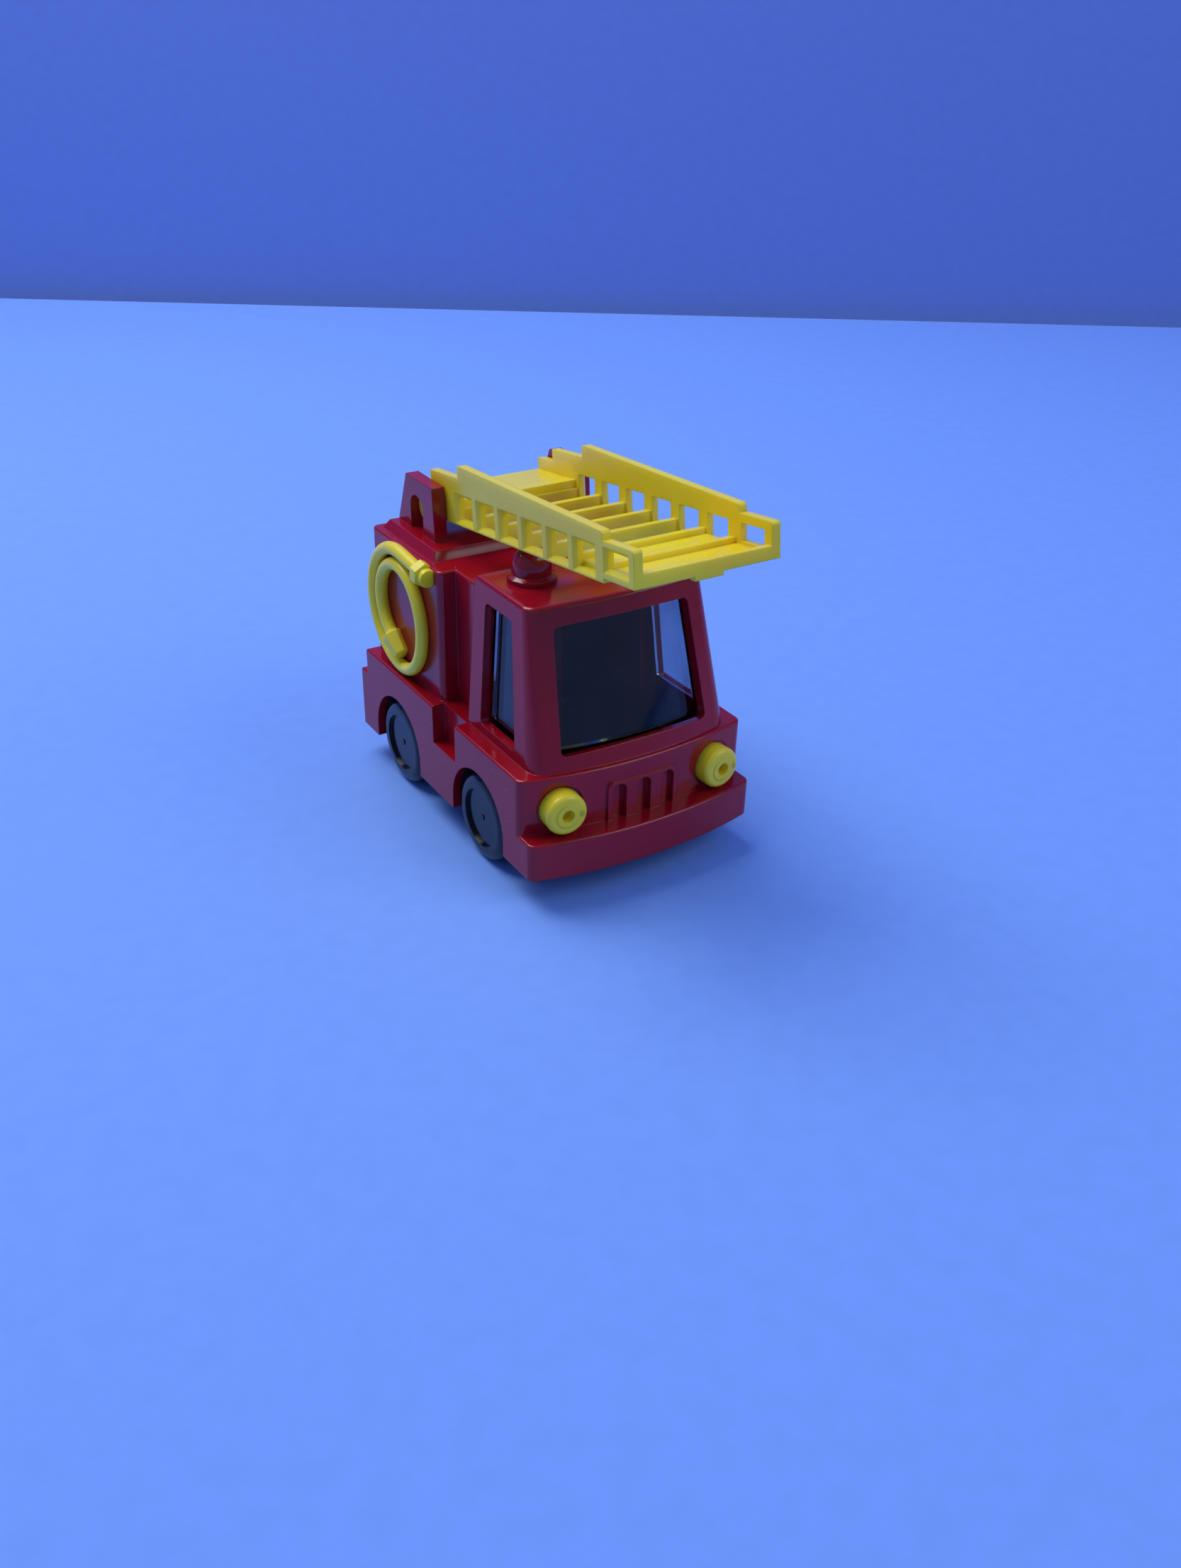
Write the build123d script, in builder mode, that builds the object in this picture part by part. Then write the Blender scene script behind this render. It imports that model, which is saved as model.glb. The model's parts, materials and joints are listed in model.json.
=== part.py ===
"""Toy fire engine: a moulded shell on a chassis plate, with a flywheel drive and a lifting ladder.

The origin is on the ground, under the middle of the whole outline.  +X is the engine's left
side as seen from the front, -Y is its front and +Z is up.  All sizes are in millimetres.
"""
from build123d import *
from math import atan2, asin, cos, degrees, hypot, pi, radians, sin, sqrt
import os

os.makedirs("parts", exist_ok=True)

# Lower body
body_width = 40.0
body_length = 55.0
skirt_length = 52.5
skirt_bottom = 5.0
ledge_height = 20.3
wall = 1.4
front_bow = 2.7
corner_round = 1.4
edge_round = 0.45
bumper_top = 11.1
bumper_reach = 3.4
rear_step_top = 15.8
notch_start = 20.0
notch_length = 7.6
notch_height = 6.4
notch_depth = 2.2

# Cab, with a bowed front that leans back and sides that lean in
cab_base_width = 34.8
cab_roof_width = 30.2
cab_base_front = 0.3
cab_roof_front = 6.0
cab_base_rear = 20.3
cab_roof_rear = 21.4
cab_bow = 2.3
cab_roof_bow = 1.1
cab_roof_height = 43.8
cab_corner = 3.0
cab_roof_corner = 1.9
roof_round = 0.7
screen_bottom = 2.6
screen_top = 21.6
screen_base_half = 12.9
screen_top_half = 11.6
window_bottom = 1.4
window_top = 20.4
window_base_front = 6.0
window_top_front = 9.9
window_base_rear = 16.6
window_top_rear = 17.8
opening_corner = 0.9

glass_thickness = 0.9
glass_sill = 1.0
glass_lap = 0.9
glass_base_rear = 15.9
glass_top_rear = 17.1

# Rear box, its raised deck and the narrower neck that joins it to the cab
box_width = 35.8
box_start = 28.0
box_end = 52.0
box_height = 42.1
box_corner = 1.0
neck_width = 30.0
deck_width = 33.4
deck_start = 32.1
deck_end = 50.2
deck_height = 43.6
deck_bevel = 0.9

# Ears and ladder pivot
pivot_back = 42.4
pivot_height = 47.2
pivot_radius = 2.05
pivot_clearance = 0.10
ear_thickness = 2.2
ear_gap = 0.3
ear_top = 52.0
ear_base_front = 36.2
ear_top_front = 36.9
ear_base_rear = 49.4
ear_top_rear = 45.9
boss_length = 1.1

# Ladder, measured along its rails from the pivot (forward) and across them (upward)
ladder_width = 23.5
rail = 1.4
ladder_tail = -3.9
first_step = 1.0
second_step = 10.3
main_end = 50.9
nose_reach = 58.2
tail_top = 3.95
step_top = 6.0
main_top = 7.95
main_front_top = 5.6
nose_top = 4.4
rail_bottom = -1.35
nose_bottom = -0.7
tail_round = 2.5
step_round = 0.5
window_pitch = 6.93
window_length = 4.75
window_count = 6
first_window = 9.1
window_low = -0.6
window_high = 3.1
window_bevel = 0.5
rung_length = 1.3
rung_height = 2.2
floor_thickness = 0.8
nose_bar = 1.1
nose_bar_height = 1.9
nose_window_low = 0.6
nose_window_high = 3.1
tail_plate_top = 2.1
tab_width = 4.6
tab_drop = 0.6

# Beacons, headlamps and grille
fit_gap = 0.03
beacon_side = 8.8
beacon_back = 15.6
beacon_radius = 3.0
dome_height = 5.15
collar_radius = 3.75
collar_height = 1.1
stem_radius = 1.6
collar_slope = 0.35
ladder_rest_gap = 0.3
lamp_side = 13.95
lamp_height = 14.9
lamp_radius = 3.3
lamp_length = 3.1
lamp_round = 0.8
lamp_eye_radius = 1.0
lamp_eye_depth = 1.6
lamp_ring_radius = 1.85
lamp_ring_rise = 0.12
lamp_splay = 5.0
lamp_seat_radius = 3.7
lamp_seat_depth = 0.5
grille_half = 6.3
grille_top = 17.4
grille_raise = 0.4
grille_slot = 2.3
grille_pitch = 4.3
grille_depth = 0.7
grille_corner = 0.9

# Hose coil on each side of the box
coil_back = 40.5
coil_clearance = 0.3
coil_outer = 10.0
coil_front_reach = 7.7
coil_middle_top = 7.5
coil_inner = 7.0
peg_angle = 45.0
hose_radius = 1.05
hose_stand = 0.85
hose_end_angle = 56.0
hose_lead = 6.2
lead_slope = 5.0
coupling_radius = 2.0
coupling_length = 1.8
coupling_flare = 0.8
knob_radius = 1.4
knob_length = 1.2
nozzle_length = 4.6
peg_radius = 0.8

# Wheels and axles
wheel_radius = 7.33
wheel_width = 5.0
wheel_inset = 0.4
wheel_round = 1.7
disc_radius = 4.75
disc_recess = 0.5
wheel_shell = 1.2
hub_radius = 2.2
hub_length = 2.9
front_axle_back = 13.0
rear_axle_back = 41.1
arch_gap = 0.85
axle_radius = 1.0
running_gap = 0.05
bearing_width = 2.0
end_play = 0.3

# Chassis plate and screws
plate_thickness = 1.1
plate_gap = 0.15
post_radius = 2.1
front_post_back = 2.6
middle_post_back = 25.5
screw_radius = 0.7
screw_head_radius = 1.5
screw_head_height = 0.6
screw_length = 6.5
screw_sink = 0.05
driver_slot = 2.4

# Flywheel drive
gear_module = 0.4
gear_teeth = 20
pinion_teeth = 10
gear_width = 1.8
gear_backlash = 0.16
pressure_angle = 20.0
tooth_addendum = 0.9
tooth_dedendum = 1.2
gear_side_gap = 1.4
drive_shaft_radius = 0.6
flywheel_radius = 5.0
flywheel_width = 3.2
case_wall = 0.9
case_gap = 0.5
case_flange = 1.4
case_flange_width = 2.0

# Sizes that follow from the ones above
half_width = body_width / 2
box_half = box_width / 2
ladder_half = ladder_width / 2
ear_inner = ladder_half + ear_gap
ear_outer = ear_inner + ear_thickness
dome_top = cab_roof_height + dome_height
rest_forward = pivot_back - beacon_back
rest_rise = dome_top + ladder_rest_gap - pivot_height
ladder_tilt = atan2(rest_rise, rest_forward) + asin(-rail_bottom / hypot(rest_forward, rest_rise))
nose_forward = nose_reach * cos(ladder_tilt) - nose_bottom * sin(ladder_tilt)
corner_y = (nose_forward - pivot_back - body_length) / 2
plate_top = skirt_bottom + plate_thickness
ceiling = ledge_height - wall
arch_radius = wheel_radius + arch_gap
coil_height = ledge_height + coil_clearance + hose_radius + coil_outer
peg_turns = (radians(-peg_angle), radians(peg_angle))
peg_places = [(coil_outer * cos(turn), coil_outer * sin(turn)) for turn in peg_turns]
head_seat = skirt_bottom + screw_sink + screw_head_height
notch_back = half_width - notch_depth
wheel_face = half_width - wheel_inset
wheel_back = wheel_face - wheel_width
hub_face = wheel_back - hub_length
gear_radius = gear_module * gear_teeth / 2
pinion_radius = gear_module * pinion_teeth / 2
shaft_spacing = gear_radius + pinion_radius
idler_height = wheel_radius + shaft_spacing
flywheel_height = idler_height + shaft_spacing
tip_radius = gear_radius + gear_module
drive_stage = (gear_width + gear_side_gap) / 2
flywheel_face = -drive_stage - gear_width / 2 - case_gap
case_left = drive_stage + gear_width / 2 + case_gap
case_right = flywheel_face - flywheel_width - case_gap
case_half_length = flywheel_radius + case_gap
case_floor = wheel_radius - tip_radius - case_gap
case_ceiling = flywheel_height + flywheel_radius + case_gap
case_middle = (case_left + case_right) / 2


def at(distance):
    """Place along the engine, from a distance behind the lower body's front corners."""
    return corner_y + distance


def sagitta(chord_half, bow, x):
    """How far a bowed edge stands forward of its chord at a place x across it."""
    radius = (chord_half**2 + bow**2) / (2 * bow)
    return bow - radius + sqrt(radius**2 - x**2)


def plan(half, front, rear, bow, corner):
    """Outline seen from above, with a bowed front edge and rounded front corners."""
    with BuildSketch() as outline:
        with BuildLine():
            Polyline((-half, at(front)), (-half, at(rear)), (half, at(rear)), (half, at(front)))
            ThreePointArc((-half, at(front)), (0, at(front) - bow), (half, at(front)))
        make_face()
        fillet(outline.vertices().group_by(Axis.Y)[0], corner)
    return outline.sketch


def cab_block(inset, low, high):
    """The cab's leaning block, pulled in on every side by the inset, between two heights."""
    base_half = cab_base_width / 2 - inset
    roof_half = cab_roof_width / 2 - inset
    base = plan(base_half, cab_base_front + inset, cab_base_rear - inset, cab_bow, cab_corner)
    roof = plan(roof_half, cab_roof_front + inset, cab_roof_rear - inset, cab_roof_bow, cab_roof_corner)
    with BuildPart() as block:
        with BuildSketch(Plane.XY.offset(low)):
            add(base)
        with BuildSketch(Plane.XY.offset(high)):
            add(roof)
        loft()
    return block.part


def rounded_polygon(corners, radius):
    """A closed outline with straight sides and equally rounded corners."""
    with BuildSketch() as outline:
        Polygon(*corners, align=None)
        fillet(outline.vertices(), radius)
    return outline.sketch


# ---- body shell: one red moulding, open underneath
skirt_plan = plan(half_width, 0, skirt_length, front_bow, corner_round)
bumper_plan = plan(half_width, -bumper_reach, skirt_length, front_bow, corner_round)
skirt_hollow = plan(half_width - wall, wall, skirt_length - wall, front_bow, corner_round)
cab_outside = cab_block(0, ledge_height, cab_roof_height)
cab_hollow = cab_block(wall, ceiling, cab_roof_height - wall)
rake = atan2(cab_roof_front - cab_roof_bow - cab_base_front + cab_bow, cab_roof_height - ledge_height)
screen_plane = Plane(
    origin=(0, at(cab_base_front) - cab_bow, ledge_height), x_dir=(1, 0, 0), z_dir=(0, -cos(rake), sin(rake))
)
screen_outline = rounded_polygon(
    [
        (-screen_base_half, screen_bottom),
        (screen_base_half, screen_bottom),
        (screen_top_half, screen_top),
        (-screen_top_half, screen_top),
    ],
    opening_corner,
)
window_outline = rounded_polygon(
    [
        (at(window_base_front), window_bottom),
        (at(window_base_rear), window_bottom),
        (at(window_top_rear), window_top),
        (at(window_top_front), window_top),
    ],
    opening_corner,
)
lamp_sides = {"left": 1, "right": -1}
lamp_face_y = at(0) - sagitta(half_width, front_bow, lamp_side) + lamp_seat_depth - lamp_length
lamp_planes = {
    side: Plane(
        origin=(sign * lamp_side, lamp_face_y, lamp_height),
        x_dir=(cos(radians(lamp_splay)), sign * sin(radians(lamp_splay)), 0),
        z_dir=(sign * sin(radians(lamp_splay)), -cos(radians(lamp_splay)), 0),
    )
    for side, sign in lamp_sides.items()
}

# ---- grille panel, bowed like the front that it stands on
grille_edge = at(0) - sagitta(half_width, front_bow, grille_half) - grille_raise
grille_nose = at(0) - front_bow - grille_raise
with BuildPart() as grille_panel:
    with BuildSketch(Plane.XY.offset(bumper_top - wall / 2)):
        with BuildLine():
            Polyline(
                (-grille_half, grille_edge), (-grille_half, at(wall / 2)),
                (grille_half, at(wall / 2)), (grille_half, grille_edge),
            )
            ThreePointArc((-grille_half, grille_edge), (0, grille_nose), (grille_half, grille_edge))
        make_face()
    extrude(amount=grille_top - bumper_top + wall / 2)
    fillet(grille_panel.faces().sort_by(Axis.Z)[-1].edges().filter_by(Axis.Y), grille_corner)

with BuildPart() as body_shell:
    # bumper, rear step and skirt
    with BuildSketch(Plane.XY.offset(skirt_bottom)):
        add(bumper_plan)
    extrude(amount=bumper_top - skirt_bottom)
    fillet(body_shell.edges().group_by(Axis.Z)[-1], edge_round)
    with BuildSketch(Plane.XY.offset(skirt_bottom)):
        with Locations((0, at((skirt_length + body_length) / 2 - wall))):
            Rectangle(body_width, body_length - skirt_length + 2 * wall)
    extrude(amount=rear_step_top - skirt_bottom)
    fillet(body_shell.edges().group_by(Axis.Z)[-1], edge_round)
    with BuildSketch(Plane.XY.offset(skirt_bottom)):
        add(skirt_plan)
    extrude(amount=ledge_height - skirt_bottom)
    fillet(body_shell.edges().group_by(Axis.Z)[-1], edge_round)
    # rear box with its neck
    with BuildSketch(Plane.XY.offset(ledge_height)):
        with Locations((0, at((box_start + box_end) / 2))):
            RectangleRounded(box_width, box_end - box_start, box_corner)
        with Locations((0, at((cab_base_rear + box_start) / 2))):
            Rectangle(neck_width, box_start - cab_base_rear + 4 * wall)
    extrude(amount=box_height - ledge_height)
    fillet(body_shell.edges().group_by(Axis.Z)[-1], edge_round)
    # raised deck
    with BuildSketch(Plane.XY.offset(box_height)):
        with Locations((0, at((deck_start + deck_end) / 2))):
            Rectangle(deck_width, deck_end - deck_start)
    with BuildSketch(Plane.XY.offset(deck_height)):
        with Locations((0, at((deck_start + deck_end) / 2))):
            Rectangle(deck_width - 2 * deck_bevel, deck_end - deck_start - 2 * deck_bevel)
    loft()
    fillet(body_shell.edges().group_by(Axis.Z)[-1], edge_round / 2)
    # cab
    add(cab_outside)
    fillet(body_shell.edges().group_by(Axis.Z)[-1], roof_round)
    # hollows
    with BuildSketch(Plane.XY.offset(skirt_bottom)):
        add(skirt_hollow)
    extrude(amount=ceiling - skirt_bottom, mode=Mode.SUBTRACT)
    with BuildSketch(Plane.XY.offset(ceiling)):
        with Locations((0, at((box_start + box_end) / 2))):
            Rectangle(box_width - 2 * wall, box_end - box_start - 2 * wall)
        with Locations((0, at((cab_base_rear + box_start) / 2))):
            Rectangle(neck_width - 2 * wall, box_start - cab_base_rear + 4 * wall)
    extrude(amount=box_height - wall - ceiling, mode=Mode.SUBTRACT)
    add(cab_hollow, mode=Mode.SUBTRACT)
    # windscreen and side windows
    with BuildSketch(screen_plane.offset(wall)):
        add(screen_outline)
    extrude(amount=-(cab_bow + 3 * wall), mode=Mode.SUBTRACT)
    with BuildSketch(Plane(origin=(0, 0, ledge_height), x_dir=(0, 1, 0), z_dir=(1, 0, 0))):
        add(window_outline)
    extrude(amount=half_width, both=True, mode=Mode.SUBTRACT)
    # side notches, with a wall behind each
    notch_middle = at(notch_start + notch_length / 2)
    for side in (-1, 1):
        with BuildSketch(Plane.XY.offset(ledge_height - notch_height - wall)):
            with Locations((side * (notch_back - wall / 2), notch_middle)):
                Rectangle(wall, notch_length + 2 * wall)
            for edge in (notch_start - wall / 2, notch_start + notch_length + wall / 2):
                with Locations((side * (half_width - (notch_depth + wall) / 2), at(edge))):
                    Rectangle(notch_depth + wall, wall)
        extrude(amount=notch_height + wall / 2)
        with BuildSketch(Plane.XY.offset(ledge_height - notch_height - wall)):
            with Locations((side * (half_width - (notch_depth + wall) / 2), notch_middle)):
                Rectangle(notch_depth + wall, notch_length)
        extrude(amount=wall)
        with BuildSketch(Plane.XY.offset(ledge_height - notch_height)):
            with Locations((side * (notch_back + (notch_depth + wall) / 2), notch_middle)):
                Rectangle(notch_depth + wall, notch_length)
        extrude(amount=notch_height + wall, mode=Mode.SUBTRACT)
    # wheel arches
    with BuildSketch(Plane.YZ):
        for axle in (front_axle_back, rear_axle_back):
            with Locations((at(axle), wheel_radius)):
                Circle(arch_radius)
            with Locations((at(axle), wheel_radius / 2)):
                Rectangle(2 * arch_radius, wheel_radius)
    extrude(amount=half_width + wall, both=True, mode=Mode.SUBTRACT)
    # ears with the arched pivot slots
    with BuildSketch(Plane.YZ.offset(-ear_outer), Plane.YZ.offset(ear_inner)):
        Polygon(
            (at(ear_base_front), deck_height - wall / 2),
            (at(ear_base_rear), deck_height - wall / 2),
            (at(ear_top_rear), ear_top),
            (at(ear_top_front), ear_top),
            align=None,
        )
    extrude(amount=ear_thickness)
    with BuildSketch(Plane.YZ.offset(-ear_outer), Plane.YZ.offset(ear_inner)):
        with Locations((at(pivot_back), pivot_height)):
            Circle(pivot_radius + pivot_clearance)
        with Locations((at(pivot_back), (pivot_height + deck_height) / 2)):
            Rectangle(2 * (pivot_radius + pivot_clearance), pivot_height - deck_height)
    extrude(amount=ear_thickness, mode=Mode.SUBTRACT)
    # headlamp seats and stem holes
    for plane in lamp_planes.values():
        with BuildSketch(plane):
            Circle(lamp_seat_radius)
        extrude(amount=-lamp_length, mode=Mode.SUBTRACT)
        with BuildSketch(plane):
            Circle(stem_radius + fit_gap)
        extrude(amount=-(lamp_length + 3 * wall), mode=Mode.SUBTRACT)
    # grille: a raised panel with three arched slots
    add(grille_panel.part)
    with BuildSketch(Plane.XZ.offset(-at(-front_bow - bumper_reach))):
        with GridLocations(grille_pitch, 0, 3, 1):
            with Locations((0, (bumper_top + grille_top - grille_raise - grille_slot / 2) / 2)):
                Rectangle(grille_slot, grille_top - grille_raise - grille_slot / 2 - bumper_top)
            with Locations((0, grille_top - grille_raise - grille_slot / 2)):
                Circle(grille_slot / 2)
    extrude(amount=-(bumper_reach + grille_depth), mode=Mode.SUBTRACT)
    # beacon stem holes in the roof and peg holes in the box sides
    with BuildSketch(Plane.XY.offset(cab_roof_height)):
        with Locations((-beacon_side, at(beacon_back)), (beacon_side, at(beacon_back))):
            Circle(stem_radius + fit_gap)
    extrude(amount=-2 * wall, mode=Mode.SUBTRACT)
    with BuildSketch(Plane.YZ):
        for y, z in peg_places:
            with Locations((at(coil_back) + y, coil_height + z)):
                Circle(peg_radius + fit_gap)
    extrude(amount=half_width, both=True, mode=Mode.SUBTRACT)
    # screw posts, and a post that holds the drive down
    with BuildSketch(Plane.XY.offset(plate_top)):
        with Locations((0, at(front_post_back))):
            Circle(post_radius)
        with Locations((0, at((front_post_back + wall - front_bow) / 2))):
            Rectangle(wall, front_post_back - wall + front_bow + wall)
    extrude(amount=ceiling - plate_top - wall)
    with BuildSketch(Plane.XY.offset(plate_top)):
        with Locations((0, at(middle_post_back))):
            Circle(post_radius)
    extrude(amount=box_height - wall - plate_top + wall / 2)
    with BuildSketch(Plane.XY.offset(case_ceiling + case_wall + fit_gap)):
        with Locations((case_middle, at(rear_axle_back))):
            Circle(post_radius)
    extrude(amount=box_height - wall / 2 - case_ceiling - case_wall - fit_gap)
    with BuildSketch(Plane.XY.offset(plate_top)):
        with Locations((0, at(front_post_back)), (0, at(middle_post_back))):
            Circle(screw_radius)
    extrude(amount=screw_length, mode=Mode.SUBTRACT)
body_shell.part.label = "body_shell"
export_step(body_shell.part, "parts/body_shell.step")

# ---- smoked glazing: one moulding that lines the windscreen and both side windows
glass_low = ledge_height + window_bottom + glass_sill
glass_high = ledge_height + window_top + glass_lap
glass_outside = cab_block(wall + fit_gap, ceiling, cab_roof_height - wall)
glass_inside = cab_block(wall + fit_gap + glass_thickness, ceiling, cab_roof_height - wall)
with BuildPart() as cab_glazing:
    add(glass_outside)
    add(glass_inside, mode=Mode.SUBTRACT)
    with BuildSketch(Plane.YZ):
        Polygon(
            (at(cab_base_front) - 2 * cab_bow, glass_low),
            (at(glass_base_rear), glass_low),
            (at(glass_top_rear), glass_high),
            (at(cab_base_front) - 2 * cab_bow, glass_high),
            align=None,
        )
    extrude(amount=half_width, both=True, mode=Mode.INTERSECT)
cab_glazing.part.label = "cab_glazing"
export_step(cab_glazing.part, "parts/cab_glazing.step")

# ---- ladder: one yellow moulding that swings on two round bosses
rail_side = Plane(
    origin=(0, at(pivot_back), pivot_height),
    x_dir=(0, -cos(ladder_tilt), sin(ladder_tilt)),
    z_dir=(-1, 0, 0),
)
rail_gap = ladder_half - rail
window_starts = [first_window + i * window_pitch for i in range(window_count)]
post_middles = [start - (window_pitch - window_length) / 2 for start in window_starts]
rung_middles = post_middles + [post_middles[-1] + window_pitch]
nose_window = ((main_end + nose_reach - nose_bar) / 2, (nose_window_low + nose_window_high) / 2)
nose_window_length = nose_reach - main_end - 2 * nose_bar
nose_window_height = nose_window_high - nose_window_low
with BuildSketch() as rail_outline:
    with BuildLine():
        Polyline(
            (ladder_tail, rail_bottom), (ladder_tail, tail_top), (first_step, tail_top),
            (first_step, step_top), (second_step, step_top), (second_step, main_top),
            (main_end, main_front_top), (main_end, nose_top), (nose_reach, nose_top),
            (nose_reach, nose_bottom), (main_end, nose_bottom), (main_end, rail_bottom), close=True,
        )
    make_face()
    fillet(rail_outline.vertices().group_by(Axis.X)[0].sort_by(Axis.Y)[0], tail_round)
    fillet(rail_outline.vertices().group_by(Axis.Y)[-1], step_round)
    fillet(rail_outline.vertices().group_by(Axis.X)[-1].sort_by(Axis.Y)[-1], step_round)
    fillet(rail_outline.vertices().sort_by_distance((main_end, main_front_top))[0], step_round)
with BuildPart() as window_bevels:
    with BuildSketch(rail_side.offset(-ladder_half)):
        for start in window_starts:
            with Locations((start + window_length / 2, (window_low + window_high) / 2)):
                Rectangle(window_length + 2 * window_bevel, window_high - window_low + 2 * window_bevel)
        with Locations(nose_window):
            Rectangle(nose_window_length + 2 * window_bevel, nose_window_height + 2 * window_bevel)
    extrude(amount=window_bevel, taper=45)
    mirror(about=Plane.YZ)
with BuildPart() as ladder:
    with BuildSketch(rail_side.offset(rail_gap), rail_side.offset(-ladder_half)):
        add(rail_outline.sketch)
        for start in window_starts:
            with Locations((start + window_length / 2, (window_low + window_high) / 2)):
                Rectangle(window_length, window_high - window_low, mode=Mode.SUBTRACT)
        with Locations(nose_window):
            Rectangle(nose_window_length, nose_window_height, mode=Mode.SUBTRACT)
    extrude(amount=rail)
    add(window_bevels.part, mode=Mode.SUBTRACT)
    # tail pan: a back wall and a floor as far as the first rung
    with BuildSketch(rail_side):
        add(rail_outline.sketch)
        with Locations((ladder_tail, rail_bottom)):
            Rectangle(
                rung_middles[0] - ladder_tail, tail_plate_top - rail_bottom, align=Align.MIN, mode=Mode.INTERSECT
            )
        with Locations((ladder_tail + rail, rail_bottom + floor_thickness)):
            Rectangle(rung_middles[0], tail_plate_top, align=Align.MIN, mode=Mode.SUBTRACT)
    extrude(amount=rail_gap, both=True)
    with BuildSketch(rail_side):
        for middle in rung_middles:
            with Locations((middle, rail_bottom + rung_height / 2)):
                Rectangle(rung_length, rung_height)
        with Locations((nose_reach - nose_bar / 2, nose_bottom + nose_bar_height / 2)):
            Rectangle(nose_bar, nose_bar_height)
        with Locations(((rung_middles[-2] + nose_reach) / 2, nose_bottom + floor_thickness / 2)):
            Rectangle(nose_reach - rung_middles[-2], floor_thickness)
    extrude(amount=rail_gap, both=True)
    with BuildSketch(rail_side):
        with Locations((nose_reach - nose_bar / 2, nose_bottom - tab_drop / 2)):
            Rectangle(nose_bar, tab_drop)
    extrude(amount=tab_width / 2, both=True)
    with BuildSketch(rail_side.offset(ladder_half), rail_side.offset(-ladder_half - boss_length)):
        Circle(pivot_radius)
    extrude(amount=boss_length)
ladder.part.label = "ladder"
export_step(ladder.part, "parts/ladder.step")

# ---- beacons, headlamps and hose coils, one of each on either side
dome_shoulder = cab_roof_height + dome_height - beacon_radius
for side, sign in lamp_sides.items():
    with BuildPart() as beacon:
        with BuildSketch(Plane.XZ.offset(-at(beacon_back))):
            with BuildLine():
                Polyline(
                    (0, dome_top), (0, cab_roof_height - 2 * wall), (stem_radius, cab_roof_height - 2 * wall),
                    (stem_radius, cab_roof_height), (collar_radius, cab_roof_height),
                    (collar_radius, cab_roof_height + collar_height - collar_slope),
                    (beacon_radius, cab_roof_height + collar_height), (beacon_radius, dome_shoulder),
                )
                RadiusArc((beacon_radius, dome_shoulder), (0, dome_top), -beacon_radius)
            make_face()
        revolve(axis=Axis((0, at(beacon_back), 0), (0, 0, 1)))
    beacon.part.position = (sign * beacon_side, 0, 0)
    beacon.part.label = f"beacon_{side}"
    export_step(beacon.part, f"parts/beacon_{side}.step")

    with BuildPart() as headlamp:
        with BuildSketch(lamp_planes[side]):
            Circle(lamp_radius)
        extrude(amount=-lamp_length)
        lamp_axis = Axis(lamp_planes[side].origin, lamp_planes[side].z_dir)
        fillet(headlamp.faces().sort_by(lamp_axis)[-1].edges(), lamp_round)
        with BuildSketch(lamp_planes[side]):
            Circle(lamp_ring_radius)
        extrude(amount=lamp_ring_rise)
        with BuildSketch(lamp_planes[side].offset(-lamp_length)):
            Circle(stem_radius)
        extrude(amount=-2 * wall)
        with BuildSketch(lamp_planes[side].offset(lamp_ring_rise)):
            Circle(lamp_eye_radius)
        extrude(amount=-lamp_eye_depth, mode=Mode.SUBTRACT)
    headlamp.part.label = f"headlamp_{side}"
    export_step(headlamp.part, f"parts/headlamp_{side}.step")

    coil_plane = Plane(
        origin=(sign * (box_half + hose_stand), at(coil_back), coil_height), x_dir=(0, 1, 0), z_dir=(1, 0, 0)
    )
    slope = radians(lead_slope)
    lead_top = (-coil_outer * sin(slope), coil_outer * cos(slope))
    lead_end = (lead_top[0] - hose_lead * cos(slope), lead_top[1] - hose_lead * sin(slope))
    with BuildPart() as hose_coil:
        with BuildLine(coil_plane) as hose_path:
            Line(lead_end, lead_top)
            CenterArc((0, 0), coil_outer, 90 + lead_slope, -180 - lead_slope)
            EllipticalCenterArc(
                (0, (coil_middle_top - coil_outer) / 2), coil_front_reach, (coil_middle_top + coil_outer) / 2,
                start_angle=270, arc_size=-180,
            )
            CenterArc((0, coil_middle_top - coil_inner), coil_inner, 90, -90 - hose_end_angle)
        hose = hose_path.wire()
        upper_end = Plane(hose @ 0, z_dir=-(hose % 0))
        inner_end = Plane(hose @ 1, z_dir=hose % 1)
        with BuildSketch(upper_end):
            Circle(hose_radius)
        sweep(path=hose)
        # six-sided coupling with its knob at the upper end
        with BuildSketch(upper_end):
            Circle(hose_radius)
        with BuildSketch(upper_end.offset(coupling_flare)):
            Circle(coupling_radius * cos(radians(30)))
        loft()
        with BuildSketch(upper_end.offset(coupling_flare)):
            RegularPolygon(coupling_radius, 6)
        extrude(amount=coupling_length)
        with BuildSketch(upper_end.offset(coupling_flare + coupling_length)):
            Circle(knob_radius)
        extrude(amount=knob_length)
        # tapered nozzle at the inner end
        with BuildSketch(inner_end):
            Circle(hose_radius)
        with BuildSketch(inner_end.offset(coupling_flare)):
            Circle(coupling_radius * cos(radians(30)))
        loft()
        with BuildSketch(inner_end.offset(coupling_flare)):
            RegularPolygon(coupling_radius, 6)
        with BuildSketch(inner_end.offset(nozzle_length)):
            RegularPolygon(knob_radius, 6)
        loft()
        split(bisect_by=Plane(origin=(sign * box_half, 0, 0), z_dir=(sign, 0, 0)), keep=Keep.TOP)
        with BuildSketch(coil_plane.offset(-sign * hose_stand)):
            with Locations(*peg_places):
                Circle(peg_radius)
        extrude(amount=-sign * wall)
    hose_coil.part.label = f"hose_coil_{side}"
    export_step(hose_coil.part, f"parts/hose_coil_{side}.step")

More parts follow.
